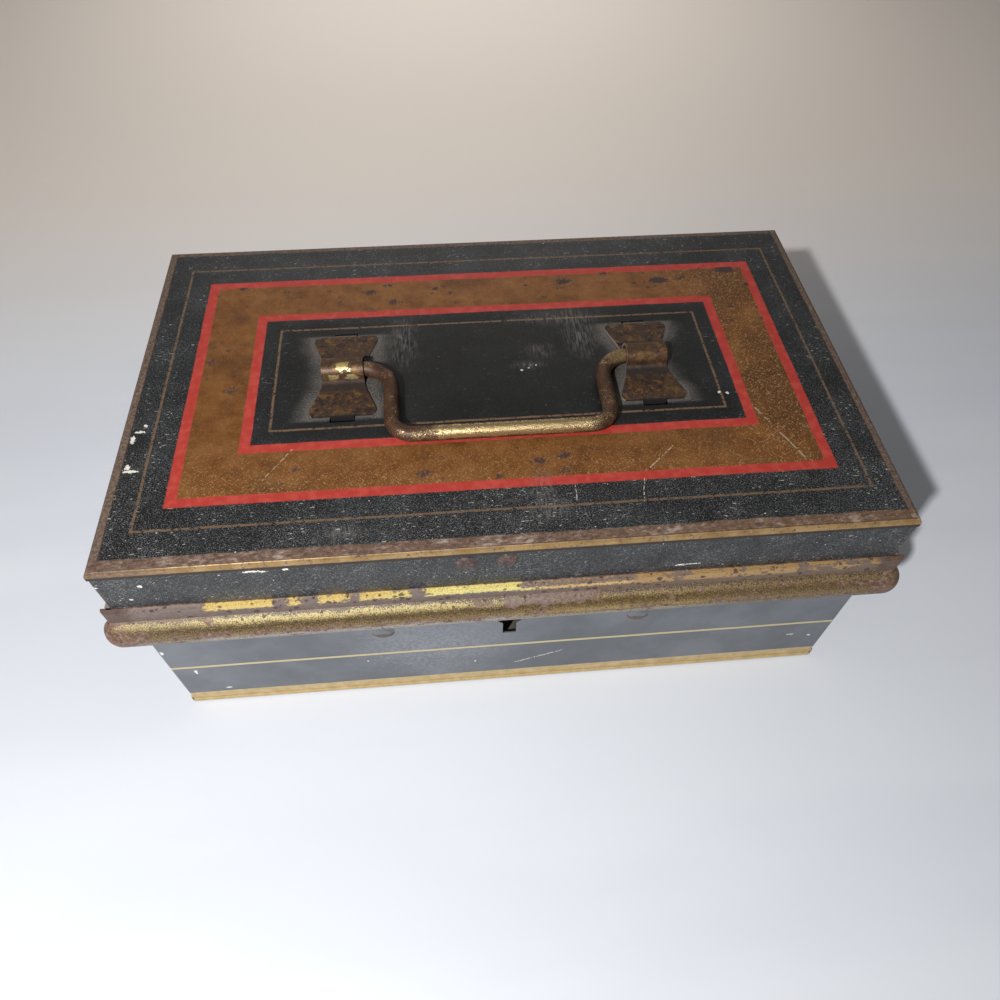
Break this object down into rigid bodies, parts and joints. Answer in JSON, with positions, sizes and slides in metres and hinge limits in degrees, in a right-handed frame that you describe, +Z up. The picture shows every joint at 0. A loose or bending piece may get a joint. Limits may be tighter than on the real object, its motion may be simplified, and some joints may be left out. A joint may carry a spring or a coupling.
{
  "type": "deed box",
  "caption": "Japanned tinplate deed box with a hinged lid, half-round gilt moulding, folding bail handle on strap clips and a sliding-bolt lock.",
  "frame": {"origin": "centre of the underside of the bottom sheet, which is the face it stands on", "axes": "+X along the length, -Y is the front with the keyhole, +Z up"},
  "size_m": [0.268, 0.1613, 0.1063],
  "materials": {
    "black_japan": "worn black japan lacquer on tinplate, satin, lined in gold and red",
    "gilt_lacquer": "gold lacquer flaking to brown rust",
    "worn_brass": "brassed iron worn brown, bright where handled",
    "bare_tinplate": "dull grey tinplate",
    "dark_steel": "dark oiled steel"
  },
  "bodies": {
    "box": {"body_wall": "black_japan", "body_bottom": "gilt_lacquer", "lock_case": "bare_tinplate", "key_pin": "dark_steel", "bolt_studs": "dark_steel", "bolt_spring": "dark_steel", "lock_rivets": "black_japan", "left_body_hinge_leaf": "black_japan", "right_body_hinge_leaf": "black_japan", "left_hinge_pin": "dark_steel", "right_hinge_pin": "dark_steel"},
    "lid": {"lid_top": "black_japan", "lid_skirt": "black_japan", "front_moulding": "gilt_lacquer", "left_moulding": "gilt_lacquer", "right_moulding": "gilt_lacquer", "staple": "dark_steel", "staple_rivets": "black_japan", "left_handle_clip": "worn_brass", "right_handle_clip": "worn_brass", "left_lid_hinge_leaf": "black_japan", "right_lid_hinge_leaf": "black_japan"},
    "handle": {"handle_bail": "worn_brass"},
    "bolt": {"lock_bolt": "dark_steel"}
  },
  "joints": [
    {"name": "lid_hinge", "type": "hinge", "parent": "box", "child": "lid", "pos_m": [0, 0.07725, 0.0559], "axis": [-1, 0, 0], "range_deg": [0, 110]},
    {"name": "handle_swing", "type": "hinge", "parent": "lid", "child": "handle", "pos_m": [0, 0, 0.1026], "axis": [-1, 0, 0], "range_deg": [0, 180]},
    {"name": "bolt_slide", "type": "slide", "parent": "box", "child": "bolt", "axis": [-1, 0, 0], "range_m": [0, 0.008]}
  ]
}
